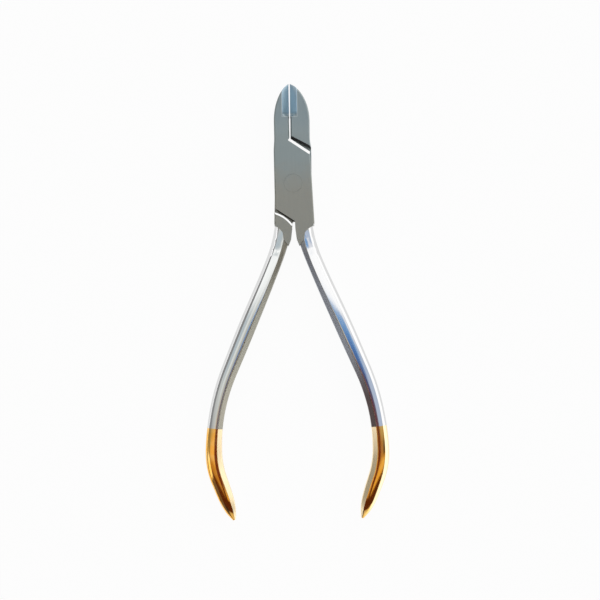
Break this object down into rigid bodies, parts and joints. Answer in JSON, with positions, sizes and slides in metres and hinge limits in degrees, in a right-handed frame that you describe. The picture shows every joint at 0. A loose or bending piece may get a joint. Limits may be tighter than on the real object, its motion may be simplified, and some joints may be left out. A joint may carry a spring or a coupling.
{
  "type": "orthodontic wire cutter",
  "caption": "Orthodontic hand cutter: crossed steel levers in a lap joint on a flush rivet, carbide cutting inserts in the jaws, bowed polished handles with gold-plated ends.",
  "frame": {"origin": "on the pivot axis, in the plane of the rear face that the joint lies on", "axes": "+Y towards the jaw tips, +Z along the pivot out of the front face, +X to the right seen from the front"},
  "size_m": [0.0548, 0.1306, 0.0064],
  "materials": {
    "steel": "satin on the joint and jaws, mirror polish on the handles",
    "rivet_steel": "satin, ground flush",
    "carbide": "fine ground",
    "braze": "bright",
    "gold": "mirror polish"
  },
  "bodies": {
    "rear_half": {"rear_lever": "steel", "rear_carbide_insert": "carbide", "rear_insert_braze": "braze", "rear_gold_plating": "gold", "pivot_rivet": "rivet_steel"},
    "front_half": {"front_lever": "steel", "front_carbide_insert": "carbide", "front_insert_braze": "braze", "front_gold_plating": "gold"}
  },
  "joints": [
    {"name": "jaw_pivot", "type": "hinge", "parent": "rear_half", "child": "front_half", "pos_m": [0, 0, 0.0032], "axis": [0, 0, 1], "range_deg": [-0.8, 30]}
  ]
}
